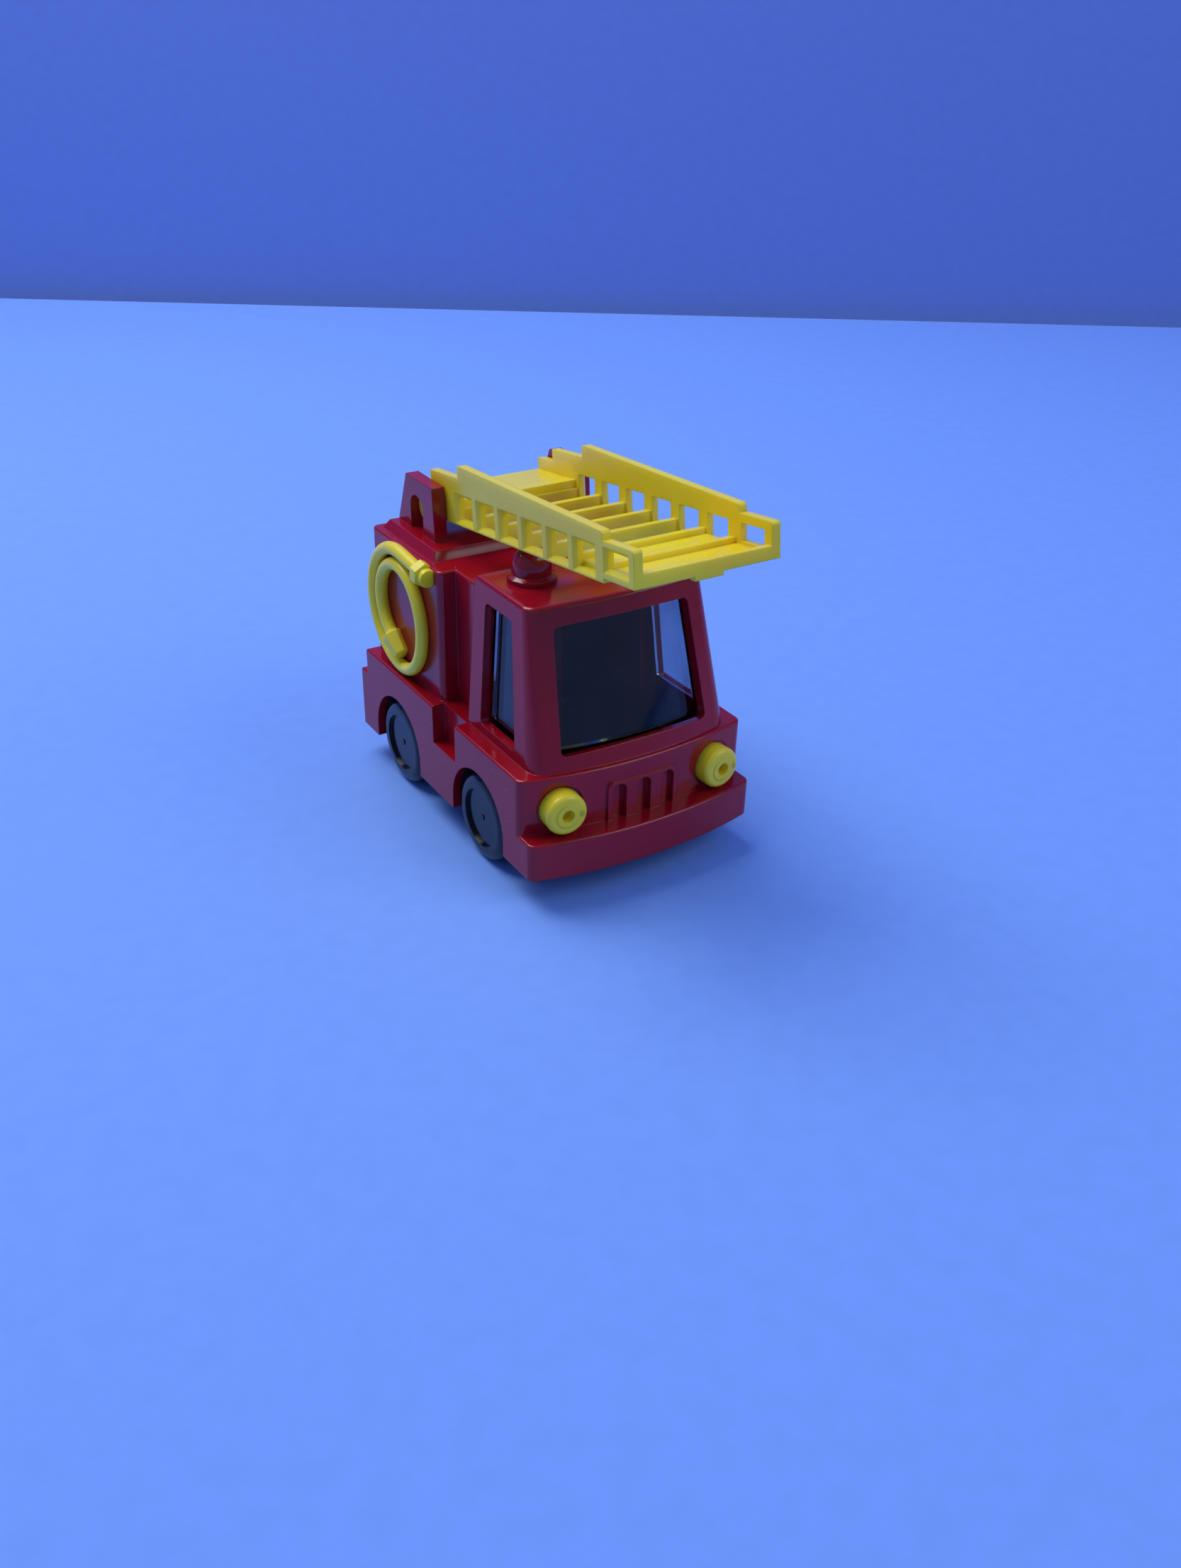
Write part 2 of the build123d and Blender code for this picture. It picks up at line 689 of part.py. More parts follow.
# ---- wheels pressed on two axles
axle_backs = {"front": front_axle_back, "rear": rear_axle_back}
for end, back in axle_backs.items():
    with BuildPart() as axle:
        with BuildSketch(Plane(origin=(0, at(back), wheel_radius), z_dir=(1, 0, 0))):
            Circle(axle_radius)
        extrude(amount=wheel_face - disc_recess - wheel_shell, both=True)
    axle.part.label = f"{end}_axle"
    export_step(axle.part, f"parts/{end}_axle.step")
    for side, sign in lamp_sides.items():
        face = Plane(origin=(sign * wheel_face, at(back), wheel_radius), z_dir=(sign, 0, 0))
        with BuildPart() as wheel:
            with BuildSketch(face):
                Circle(wheel_radius)
            extrude(amount=-wheel_width)
            fillet(wheel.faces().sort_by(Axis((0, 0, 0), (sign, 0, 0)))[-1].edges(), wheel_round)
            with BuildSketch(face):
                Circle(disc_radius)
            extrude(amount=-disc_recess, mode=Mode.SUBTRACT)
            with BuildSketch(face.offset(-wheel_width)):
                Circle(wheel_radius - wheel_shell)
            extrude(amount=wheel_width - wheel_round - wheel_shell, mode=Mode.SUBTRACT)
            with BuildSketch(face.offset(-disc_recess - wheel_shell)):
                Circle(hub_radius)
            extrude(amount=-(wheel_width + hub_length - disc_recess - wheel_shell))
            with BuildSketch(face.offset(-disc_recess - wheel_shell)):
                Circle(axle_radius)
            extrude(amount=-(wheel_width + hub_length), mode=Mode.SUBTRACT)
        wheel.part.label = f"{end}_{side}_wheel"
        export_step(wheel.part, f"parts/{end}_{side}_wheel.step")

# ---- chassis plate with the front axle's bearings and a window for the drive
plate_inset = wall + plate_gap
plate_plan = plan(half_width - plate_inset, plate_inset, skirt_length - plate_inset, front_bow, corner_round)
bearing_middle = hub_face - end_play - bearing_width / 2
with BuildPart() as chassis_plate:
    with BuildSketch(Plane.XY.offset(skirt_bottom)):
        add(plate_plan)
        for back in axle_backs.values():
            for side in (-1, 1):
                with Locations((side * half_width, at(back))):
                    Rectangle(
                        2 * (half_width - hub_face + end_play / 2), 2 * arch_radius, mode=Mode.SUBTRACT
                    )
        with Locations((case_middle, at(rear_axle_back))):
            Rectangle(
                case_left - case_right + 2 * (case_wall + plate_gap),
                2 * (case_half_length + case_wall + plate_gap),
                mode=Mode.SUBTRACT,
            )
        with Locations((0, at(front_post_back)), (0, at(middle_post_back))):
            Circle(screw_radius + running_gap, mode=Mode.SUBTRACT)
    extrude(amount=plate_thickness)
    with BuildSketch(Plane.YZ.offset(bearing_middle), Plane.YZ.offset(-bearing_middle)):
        with Locations((at(front_axle_back), wheel_radius)):
            Circle(hub_radius)
        with Locations((at(front_axle_back), (wheel_radius + skirt_bottom) / 2)):
            Rectangle(2 * hub_radius, wheel_radius - skirt_bottom)
    extrude(amount=bearing_width / 2, both=True)
    with BuildSketch(Plane.YZ):
        with Locations((at(front_axle_back), wheel_radius)):
            Circle(axle_radius + running_gap)
    extrude(amount=half_width, both=True, mode=Mode.SUBTRACT)
    with BuildSketch(Plane.XY.offset(skirt_bottom)):
        with Locations((0, at(front_post_back)), (0, at(middle_post_back))):
            Circle(screw_head_radius + fit_gap)
    extrude(amount=screw_sink + screw_head_height, mode=Mode.SUBTRACT)
chassis_plate.part.label = "chassis_plate"
export_step(chassis_plate.part, "parts/chassis_plate.step")

with BuildPart() as chassis_screws:
    with BuildSketch(Plane.XY.offset(skirt_bottom + screw_sink)):
        with Locations((0, at(front_post_back)), (0, at(middle_post_back))):
            Circle(screw_head_radius)
    extrude(amount=screw_head_height)
    with BuildSketch(Plane.XY.offset(head_seat)):
        with Locations((0, at(front_post_back)), (0, at(middle_post_back))):
            Circle(screw_radius)
    extrude(amount=skirt_bottom + screw_length - head_seat)
    with BuildSketch(Plane.XY.offset(skirt_bottom + screw_sink)):
        with Locations((0, at(front_post_back)), (0, at(middle_post_back))):
            Rectangle(driver_slot, screw_radius / 2)
            Rectangle(screw_radius / 2, driver_slot)
    extrude(amount=screw_head_height / 2, mode=Mode.SUBTRACT)
chassis_screws.part.label = "chassis_screws"
export_step(chassis_screws.part, "parts/chassis_screws.step")


# ---- flywheel drive in its two-part case
def gear_sketch(teeth, phase):
    """Straight-flanked spur gear outline, with one tooth centred at the phase angle."""
    pitch = gear_module * teeth / 2
    half_tooth = (pi * gear_module / 2 - gear_backlash) / 2
    flank = gear_module * sin(radians(pressure_angle))
    tip = pitch + tooth_addendum * gear_module
    root = pitch - tooth_dedendum * gear_module
    corners = []
    for i in range(teeth):
        middle = phase + 2 * pi * i / teeth
        for radius, half in (
            (root, -half_tooth - flank),
            (tip, -half_tooth + flank),
            (tip, half_tooth - flank),
            (root, half_tooth + flank),
        ):
            turn = middle + half / radius
            corners.append((radius * cos(turn), radius * sin(turn)))
    with BuildSketch() as outline:
        Polygon(*corners, align=None)
    return outline.sketch


def shaft_plane(height, x):
    """Plane across the drive at a height, facing the engine's left."""
    return Plane(origin=(x, at(rear_axle_back), height), x_dir=(0, 1, 0), z_dir=(1, 0, 0))


up = pi / 2
axle_teeth = gear_sketch(gear_teeth, up)
idler_pinion_teeth = gear_sketch(pinion_teeth, -up + pi / pinion_teeth)
idler_teeth = gear_sketch(gear_teeth, up)
flywheel_teeth = gear_sketch(pinion_teeth, -up + pi / pinion_teeth)

with BuildPart() as axle_gear:
    with BuildSketch(shaft_plane(wheel_radius, drive_stage - gear_width / 2)):
        add(axle_teeth)
        Circle(axle_radius, mode=Mode.SUBTRACT)
    extrude(amount=gear_width)
axle_gear.part.label = "axle_gear"
export_step(axle_gear.part, "parts/axle_gear.step")

with BuildPart() as idler_gear:
    with BuildSketch(shaft_plane(idler_height, -drive_stage - gear_width / 2)):
        add(idler_teeth)
    extrude(amount=gear_width)
    with BuildSketch(shaft_plane(idler_height, -drive_stage + gear_width / 2)):
        add(idler_pinion_teeth)
    extrude(amount=2 * drive_stage)
    with BuildSketch(shaft_plane(idler_height, 0)):
        Circle(drive_shaft_radius + running_gap)
    extrude(amount=half_width, both=True, mode=Mode.SUBTRACT)
idler_gear.part.label = "idler_gear"
export_step(idler_gear.part, "parts/idler_gear.step")

with BuildPart() as idler_pin:
    with BuildSketch(shaft_plane(idler_height, case_right - case_wall)):
        Circle(drive_shaft_radius)
    extrude(amount=case_left - case_right + 2 * case_wall)
idler_pin.part.label = "idler_pin"
export_step(idler_pin.part, "parts/idler_pin.step")

with BuildPart() as flywheel_shaft:
    with BuildSketch(shaft_plane(flywheel_height, case_right - case_wall)):
        Circle(drive_shaft_radius)
    extrude(amount=case_left - case_right + 2 * case_wall)
    with BuildSketch(shaft_plane(flywheel_height, -drive_stage - gear_width / 2)):
        add(flywheel_teeth)
    extrude(amount=gear_width)
flywheel_shaft.part.label = "flywheel_shaft"
export_step(flywheel_shaft.part, "parts/flywheel_shaft.step")

with BuildPart() as flywheel:
    with BuildSketch(shaft_plane(flywheel_height, flywheel_face - flywheel_width)):
        Circle(flywheel_radius)
        Circle(drive_shaft_radius, mode=Mode.SUBTRACT)
    extrude(amount=flywheel_width)
flywheel.part.label = "flywheel"
export_step(flywheel.part, "parts/flywheel.step")

case_sides = {"left": (0, case_left), "right": (case_right, 0)}
for side, (low, high) in case_sides.items():
    outer_low = low - (case_wall if side == "right" else 0)
    outer_high = high + (case_wall if side == "left" else 0)
    with BuildPart() as motor_case:
        with BuildSketch(Plane.XY.offset(case_floor - case_wall)):
            with Locations(((outer_low + outer_high) / 2, at(rear_axle_back))):
                Rectangle(outer_high - outer_low, 2 * (case_half_length + case_wall))
        extrude(amount=case_ceiling - case_floor + 2 * case_wall)
        with BuildSketch(Plane.XY.offset(plate_top)):
            with Locations(((outer_low + outer_high) / 2, at(rear_axle_back))):
                Rectangle(outer_high - outer_low, 2 * (case_half_length + case_wall + case_flange_width))
        extrude(amount=case_flange)
        with BuildSketch(Plane.XY.offset(case_floor)):
            with Locations(((low + high) / 2, at(rear_axle_back))):
                Rectangle(high - low, 2 * case_half_length)
        extrude(amount=case_ceiling - case_floor, mode=Mode.SUBTRACT)
        with BuildSketch(shaft_plane(wheel_radius, 0)):
            Circle(axle_radius + running_gap)
        extrude(amount=half_width, both=True, mode=Mode.SUBTRACT)
        with BuildSketch(shaft_plane(idler_height, 0)):
            Circle(drive_shaft_radius)
        extrude(amount=half_width, both=True, mode=Mode.SUBTRACT)
        with BuildSketch(shaft_plane(flywheel_height, 0)):
            Circle(drive_shaft_radius + running_gap)
        extrude(amount=half_width, both=True, mode=Mode.SUBTRACT)
    motor_case.part.label = f"motor_case_{side}"
    export_step(motor_case.part, f"parts/motor_case_{side}.step")
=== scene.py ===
"""Looks of a moulded toy fire engine, built around its packed construction model.

Every piece is in metres, in the construction model's own frame: -Y is the engine's front, +X its
left side and +Z is up, with the ground at zero.
"""

import json
import logging
import math
from dataclasses import dataclass, field
from enum import Enum
from typing import Iterable, Sequence

import bmesh
import bpy
from mathutils import Matrix, Vector

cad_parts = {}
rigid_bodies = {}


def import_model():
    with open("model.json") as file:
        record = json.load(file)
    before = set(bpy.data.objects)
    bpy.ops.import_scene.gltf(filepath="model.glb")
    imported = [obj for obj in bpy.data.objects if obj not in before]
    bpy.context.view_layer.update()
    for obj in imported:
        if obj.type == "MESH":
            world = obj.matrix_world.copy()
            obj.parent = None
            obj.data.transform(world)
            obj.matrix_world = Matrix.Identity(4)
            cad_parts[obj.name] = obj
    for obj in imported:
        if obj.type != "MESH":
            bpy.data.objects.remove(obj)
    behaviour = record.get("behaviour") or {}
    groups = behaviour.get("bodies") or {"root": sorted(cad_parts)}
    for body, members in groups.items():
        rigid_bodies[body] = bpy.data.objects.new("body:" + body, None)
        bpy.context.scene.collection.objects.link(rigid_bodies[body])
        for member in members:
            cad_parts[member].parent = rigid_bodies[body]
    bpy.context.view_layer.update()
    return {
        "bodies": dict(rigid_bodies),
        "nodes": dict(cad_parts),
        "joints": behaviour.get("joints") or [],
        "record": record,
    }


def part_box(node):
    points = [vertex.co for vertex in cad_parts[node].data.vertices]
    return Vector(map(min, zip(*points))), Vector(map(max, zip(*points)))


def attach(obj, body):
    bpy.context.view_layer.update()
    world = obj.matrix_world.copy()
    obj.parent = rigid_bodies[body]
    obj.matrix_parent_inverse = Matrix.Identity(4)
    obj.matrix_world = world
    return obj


LOG = logging.getLogger("fire_engine")
MM = 0.001

# Samples of the shader's rounded look at sharp edges.
EDGE_SAMPLES = 6

# A face looks along a direction when its normal's cosine with it is above this.
FACING = 0.9

# Edges of an added piece that turn by less than this many degrees are shaded smooth.
SMOOTH_ANGLE = 35.0

Colour = tuple[float, float, float, float]


class Side(Enum):
    """The two sides of the engine, with the sign of X on each."""

    LEFT = 1
    RIGHT = -1

    @property
    def word(self) -> str:
        """The side's name as the nodes spell it."""
        return self.name.lower()


class Slot(Enum):
    """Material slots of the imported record."""

    RED_SHELL = "red_shell"
    YELLOW = "yellow_plastic"
    BLACK = "black_plastic"
    DARK_RED = "dark_red_plastic"
    GLAZING = "smoked_glazing"
    CHASSIS = "chassis_black"
    STEEL = "steel"
    GEAR = "white_gear"


# ---------------------------------------------------------------------------
# finishes
# ---------------------------------------------------------------------------


@dataclass(frozen=True)
class NodeSheet:
    """A material's node tree, with short calls for the nodes that the finishes share."""

    material: bpy.types.Material

    @property
    def nodes(self) -> bpy.types.Nodes:
        """The tree's nodes."""
        return self.material.node_tree.nodes

    def link(self, source: bpy.types.NodeSocket, target: bpy.types.NodeSocket) -> None:
        """Join two sockets."""
        self.material.node_tree.links.new(source, target)

    def shader(self) -> bpy.types.Node:
        """The tree's principled shader."""
        return next(n for n in self.nodes if n.type == "BSDF_PRINCIPLED")

    def place(self) -> bpy.types.NodeSocket:
        """Object coordinates, in metres."""
        found = [n for n in self.nodes if n.type == "TEX_COORD"]
        node = found[0] if found else self.nodes.new("ShaderNodeTexCoord")
        return node.outputs["Object"]

    def noise(
        self, scale: float, detail: float = 2.0, stretch: Sequence[float] = (1.0, 1.0, 1.0)
    ) -> bpy.types.Node:
        """Add a noise texture on object coordinates.

        Args:
            scale: Repeats per metre.
            detail: Octaves of finer noise.
            stretch: Scale of the coordinates along each axis.

        Returns:
            The noise node.
        """
        node = self.nodes.new("ShaderNodeTexNoise")
        node.inputs["Scale"].default_value = scale
        node.inputs["Detail"].default_value = detail
        if tuple(stretch) == (1.0, 1.0, 1.0):
            self.link(self.place(), node.inputs["Vector"])
        else:
            mapping = self.nodes.new("ShaderNodeMapping")
            mapping.inputs["Scale"].default_value = stretch
            self.link(self.place(), mapping.inputs["Vector"])
            self.link(mapping.outputs["Vector"], node.inputs["Vector"])
        return node

    def ramp(
        self, source: bpy.types.NodeSocket, low: float, high: float, flip: bool = False
    ) -> bpy.types.NodeSocket:
        """Turn a value into a smooth mask between two levels.

        Args:
            source: The value to read.
            low: Level where the mask starts.
            high: Level where the mask is full.
            flip: Whether the mask is full below the low level instead.

        Returns:
            The mask, from 0 to 1.
        """
        node = self.nodes.new("ShaderNodeMapRange")
        node.interpolation_type = "SMOOTHSTEP"
        node.inputs["From Min"].default_value = low
        node.inputs["From Max"].default_value = high
        node.inputs["To Min"].default_value = 1.0 if flip else 0.0
        node.inputs["To Max"].default_value = 0.0 if flip else 1.0
        self.link(source, node.inputs["Value"])
        return node.outputs["Result"]

    def blend(
        self,
        mask: bpy.types.NodeSocket,
        under: bpy.types.NodeSocket | Colour,
        over: bpy.types.NodeSocket | Colour,
    ) -> bpy.types.NodeSocket:
        """Mix two colours by a mask.

        Args:
            mask: Share of the upper colour.
            under: The lower colour.
            over: The upper colour.

        Returns:
            The mixed colour.
        """
        node = self.nodes.new("ShaderNodeMix")
        node.data_type = "RGBA"
        self.link(mask, node.inputs["Factor"])
        for socket, value in ((node.inputs[6], under), (node.inputs[7], over)):
            if isinstance(value, bpy.types.NodeSocket):
                self.link(value, socket)
            else:
                socket.default_value = value
        return node.outputs[2]

    def scaled(
        self, source: bpy.types.NodeSocket, factor: float, offset: float = 0.0
    ) -> bpy.types.NodeSocket:
        """Multiply a value and add to it."""
        node = self.nodes.new("ShaderNodeMath")
        node.operation = "MULTIPLY_ADD"
        node.inputs[1].default_value = factor
        node.inputs[2].default_value = offset
        self.link(source, node.inputs[0])
        return node.outputs[0]

    def summed(self, first: bpy.types.NodeSocket, second: bpy.types.NodeSocket) -> bpy.types.NodeSocket:
        """Add two values."""
        node = self.nodes.new("ShaderNodeMath")
        node.operation = "ADD"
        self.link(first, node.inputs[0])
        self.link(second, node.inputs[1])
        return node.outputs[0]

    def product(self, first: bpy.types.NodeSocket, second: bpy.types.NodeSocket) -> bpy.types.NodeSocket:
        """Multiply two values."""
        node = self.nodes.new("ShaderNodeMath")
        node.operation = "MULTIPLY"
        self.link(first, node.inputs[0])
        self.link(second, node.inputs[1])
        return node.outputs[0]

    def chosen(self, cells: bpy.types.Node, channel: str, low: float, high: float) -> bpy.types.NodeSocket:
        """Mask a few of a cell texture's cells, picked by a channel of their random colours."""
        channels = self.nodes.new("ShaderNodeSeparateColor")
        self.link(cells.outputs["Color"], channels.inputs["Color"])
        return self.ramp(channels.outputs[channel], low, high)

    def bump(self, height: bpy.types.NodeSocket, depth: float, edge: float = 0.0) -> None:
        """Feed the shader's normal with relief, over edges that look slightly rounded.

        Args:
            height: The relief, from 0 to 1.
            depth: How deep the relief is, in metres.
            edge: Radius of the rounded look at sharp edges, in metres, or 0 for none.
        """
        node = self.nodes.new("ShaderNodeBump")
        node.inputs["Strength"].default_value = 1.0
        node.inputs["Distance"].default_value = depth
        self.link(height, node.inputs["Height"])
        if edge > 0:
            rounded = self.nodes.new("ShaderNodeBevel")
            rounded.samples = EDGE_SAMPLES
            rounded.inputs["Radius"].default_value = edge
            self.link(rounded.outputs["Normal"], node.inputs["Normal"])
        self.link(node.outputs["Normal"], self.shader().inputs["Normal"])


def blank_sheet(name: str) -> NodeSheet:
    """Start a new material with only its principled shader."""
    material = bpy.data.materials.new(name)
    material.use_nodes = True
    return NodeSheet(material)


def dimmed(colour: Colour, share: float) -> Colour:
    """A colour at a share of its brightness."""
    return tuple(c * share for c in colour[:3]) + (1.0,)


@dataclass(frozen=True)
class MouldedPlastic:
    """Injection-moulded plastic: faint flow marks, a little dust and fine handling scratches."""

    name: str
    colour: Colour
    deep_colour: Colour
    roughness: float = 0.2
    roughness_spread: float = 0.08
    dust_roughness: float = 0.5
    scratch_roughness: float = 0.18
    translucency: float = 0.0
    translucent_depth: float = 0.002
    flow_scale: float = 60.0
    flow_relief: float = 6.0
    grain_scale: float = 2500.0
    grain_depth: float = 4e-7
    grain_relief: float = 0.35
    dust: float = 0.35
    dust_scale: float = 900.0
    dust_colour: Colour = (0.55, 0.55, 0.58, 1.0)
    dust_relief: float = 2.0
    speck: float = 0.0
    speck_colour: Colour = (0.12, 0.09, 0.02, 1.0)
    speck_size: float = 0.55
    speck_wander: float = 0.0015
    scratch: float = 0.25
    scratch_relief: float = -0.5
    edge: float = 0.0002

    def build(self) -> bpy.types.Material:
        """Make the material.

        Returns:
            The finished material.
        """
        sheet = blank_sheet(self.name)
        shader = sheet.shader()
        shader.inputs["IOR"].default_value = 1.5
        if self.translucency > 0:
            shader.inputs["Subsurface Weight"].default_value = self.translucency
            shader.inputs["Subsurface Radius"].default_value = (1.0, 0.85, 0.35)
            shader.inputs["Subsurface Scale"].default_value = self.translucent_depth

        flow = sheet.noise(self.flow_scale, detail=3.0, stretch=(1.0, 0.45, 1.0)).outputs["Fac"]
        colour = sheet.blend(sheet.ramp(flow, low=0.35, high=0.68), self.colour, self.deep_colour)
        dust = self._dust(sheet)
        colour = sheet.blend(dust, colour, self.dust_colour)
        if self.speck > 0:
            colour = sheet.blend(self._specks(sheet), colour, self.speck_colour)
        sheet.link(colour, shader.inputs["Base Color"])

        scratches = self._scratches(sheet)
        rough = sheet.scaled(flow, self.roughness_spread, self.roughness - self.roughness_spread / 2)
        rough = sheet.summed(rough, sheet.scaled(dust, self.dust_roughness))
        rough = sheet.summed(rough, sheet.scaled(scratches, self.scratch_roughness))
        sheet.link(rough, shader.inputs["Roughness"])

        grain = sheet.noise(self.grain_scale, detail=2.0).outputs["Fac"]
        relief = sheet.scaled(grain, self.grain_relief)
        relief = sheet.summed(relief, sheet.scaled(scratches, self.scratch_relief))
        relief = sheet.summed(relief, sheet.scaled(flow, self.flow_relief))
        relief = sheet.summed(relief, sheet.scaled(dust, self.dust_relief))
        sheet.bump(relief, self.grain_depth, self.edge)
        return sheet.material

    def _dust(self, sheet: NodeSheet) -> bpy.types.NodeSocket:
        """Pale dust specks of uneven strength, in a few cells picked at random."""
        cells = sheet.nodes.new("ShaderNodeTexVoronoi")
        cells.inputs["Scale"].default_value = self.dust_scale
        sheet.link(sheet.place(), cells.inputs["Vector"])
        near = sheet.ramp(cells.outputs["Distance"], low=0.03, high=0.10, flip=True)
        few = sheet.chosen(cells, "Red", low=1.0 - 0.16 * self.dust, high=1.0 - 0.10 * self.dust)
        return sheet.scaled(sheet.product(near, few), factor=0.75)

    def _specks(self, sheet: NodeSheet) -> bpy.types.NodeSocket:
        """Short dark specks, drawn out along the engine, that show on a pale moulding."""
        cells = sheet.nodes.new("ShaderNodeTexVoronoi")
        cells.inputs["Scale"].default_value = self.dust_scale * self.speck_size
        wander = sheet.noise(scale=500.0, detail=1.0)
        warp = sheet.nodes.new("ShaderNodeMix")
        warp.data_type = "VECTOR"
        warp.inputs["Factor"].default_value = self.speck_wander
        sheet.link(sheet.place(), warp.inputs[4])
        sheet.link(wander.outputs["Color"], warp.inputs[5])
        mapping = sheet.nodes.new("ShaderNodeMapping")
        mapping.inputs["Scale"].default_value = (1.0, 0.5, 1.6)
        sheet.link(warp.outputs[1], mapping.inputs["Vector"])
        sheet.link(mapping.outputs["Vector"], cells.inputs["Vector"])
        near = sheet.ramp(cells.outputs["Distance"], low=0.03, high=0.09, flip=True)
        few = sheet.chosen(cells, "Green", low=1.0 - 0.14 * self.speck, high=1.0 - 0.08 * self.speck)
        return sheet.scaled(sheet.product(near, few), factor=0.8)

    def _scratches(self, sheet: NodeSheet) -> bpy.types.NodeSocket:
        """Hairline handling marks, running mostly along the engine."""
        lines = sheet.noise(scale=700.0, detail=1.0, stretch=(1.0, 0.06, 2.2)).outputs["Fac"]
        patch = sheet.noise(scale=90.0, detail=1.0).outputs["Fac"]
        thin = sheet.ramp(lines, low=0.70, high=0.76)
        where = sheet.ramp(patch, low=0.5, high=0.65)
        return sheet.scaled(sheet.product(thin, where), self.scratch)


@dataclass(frozen=True)
class SmokedGlazing:
    """Smoke-tinted clear moulding, dark but see-through."""

    name: str = "smoked glazing"
    tint: Colour = (0.62, 0.66, 0.74, 1.0)
    deepening: float = 0.8
    roughness: float = 0.018
    roughness_spread: float = 0.03
    haze_depth: float = 1.5e-6

    def build(self) -> bpy.types.Material:
        """Make the material.

        Returns:
            The finished material.
        """
        sheet = blank_sheet(self.name)
        shader = sheet.shader()
        shader.inputs["IOR"].default_value = 1.42
        shader.inputs["Transmission Weight"].default_value = 1.0
        haze = sheet.noise(scale=120.0, detail=3.0).outputs["Fac"]
        mask = sheet.ramp(haze, low=0.3, high=0.7)
        colour = sheet.blend(mask, self.tint, dimmed(self.tint, self.deepening))
        sheet.link(colour, shader.inputs["Base Color"])
        sheet.link(sheet.scaled(haze, self.roughness_spread, self.roughness), shader.inputs["Roughness"])
        sheet.bump(haze, self.haze_depth)
        return sheet.material


@dataclass(frozen=True)
class DrawnSteel:
    """Drawn steel, with fine lines that run across the engine, along its axles."""

    name: str = "drawn steel"
    colour: Colour = (0.62, 0.62, 0.64, 1.0)
    dulling: float = 0.8
    roughness: float = 0.2
    roughness_spread: float = 0.25
    line_depth: float = 1e-6
    edge: float = 0.0001

    def build(self) -> bpy.types.Material:
        """Make the material.

        Returns:
            The finished material.
        """
        sheet = blank_sheet(self.name)
        shader = sheet.shader()
        shader.inputs["Metallic"].default_value = 1.0
        lines = sheet.noise(scale=3000.0, detail=2.0, stretch=(0.05, 1.0, 1.0)).outputs["Fac"]
        colour = sheet.blend(lines, self.colour, dimmed(self.colour, self.dulling))
        sheet.link(colour, shader.inputs["Base Color"])
        sheet.link(sheet.scaled(lines, self.roughness_spread, self.roughness), shader.inputs["Roughness"])
        sheet.bump(lines, self.line_depth, self.edge)
        return sheet.material


@dataclass(frozen=True)
class PaperSweep:
    """Plain paper, for the sheet that the toy stands on and the wall behind it."""

    name: str = "pale paper"
    colour: Colour = (0.20, 0.385, 0.91, 1.0)
    fibre_shade: float = 0.965
    fibre_depth: float = 3e-5

    def build(self) -> bpy.types.Material:
        """Make the material.

        Returns:
            The finished material.
        """
        sheet = blank_sheet(self.name)
        shader = sheet.shader()
        fibre = sheet.noise(scale=260.0, detail=4.0).outputs["Fac"]
        mask = sheet.ramp(fibre, low=0.35, high=0.7)
        colour = sheet.blend(mask, self.colour, dimmed(self.colour, self.fibre_shade))
        sheet.link(colour, shader.inputs["Base Color"])
        shader.inputs["Roughness"].default_value = 0.75
        shader.inputs["Specular IOR Level"].default_value = 0.25
        sheet.bump(fibre, self.fibre_depth)
        return sheet.material


@dataclass
class Paintshop:
    """All finishes of the engine, by the record's slot."""

    red: MouldedPlastic = MouldedPlastic(
        name="red shell plastic",
        colour=(0.34, 0.0035, 0.012, 1.0),
        deep_colour=(0.30, 0.0025, 0.010, 1.0),
        roughness=0.15,
        roughness_spread=0.05,
        dust=0.3,
    )
    yellow: MouldedPlastic = MouldedPlastic(
        name="yellow plastic",
        colour=(0.93, 0.76, 0.028, 1.0),
        deep_colour=(0.92, 0.66, 0.016, 1.0),
        roughness=0.27,
        translucency=0.4,
        translucent_depth=0.0022,
        dust=0.3,
        speck=1.0,
        edge=0.00022,
    )
    black: MouldedPlastic = MouldedPlastic(
        name="black wheel plastic",
        colour=(0.004, 0.005, 0.008, 1.0),
        deep_colour=(0.003, 0.0035, 0.006, 1.0),
        roughness=0.17,
        roughness_spread=0.05,
        dust=0.12,
        edge=0.00015,
    )
    dark_red: MouldedPlastic = MouldedPlastic(
        name="dark red beacon plastic",
        colour=(0.28, 0.0025, 0.007, 1.0),
        deep_colour=(0.22, 0.002, 0.006, 1.0),
        roughness=0.09,
        translucency=0.15,
        dust=0.4,
        edge=0.00012,
    )
    chassis: MouldedPlastic = MouldedPlastic(
        name="chassis plastic",
        colour=(0.02, 0.02, 0.022, 1.0),
        deep_colour=(0.016, 0.016, 0.018, 1.0),
        roughness=0.42,
        grain_depth=2e-6,
    )
    gear: MouldedPlastic = MouldedPlastic(
        name="gear plastic",
        colour=(0.72, 0.72, 0.66, 1.0),
        deep_colour=(0.66, 0.66, 0.6, 1.0),
        roughness=0.4,
    )
    glazing: SmokedGlazing = SmokedGlazing()
    steel: DrawnSteel = DrawnSteel()
    made: dict[Slot, bpy.types.Material] = field(default_factory=dict)

    def finish(self, slot: Slot) -> bpy.types.Material:
        """Give the material of a slot, made once.

        Args:
            slot: The record's slot.

        Returns:
            The slot's material.
        """
        sources = {
            Slot.RED_SHELL: self.red,
            Slot.YELLOW: self.yellow,
            Slot.BLACK: self.black,
            Slot.DARK_RED: self.dark_red,
            Slot.GLAZING: self.glazing,
            Slot.CHASSIS: self.chassis,
            Slot.STEEL: self.steel,
            Slot.GEAR: self.gear,
        }
        if slot not in self.made:
            self.made[slot] = sources[slot].build()
        return self.made[slot]

    def dress(self, piece: bpy.types.Object, slot: Slot) -> None:
        """Put a slot's material on a piece, in place of any other."""
        piece.data.materials.clear()
        piece.data.materials.append(self.finish(slot))


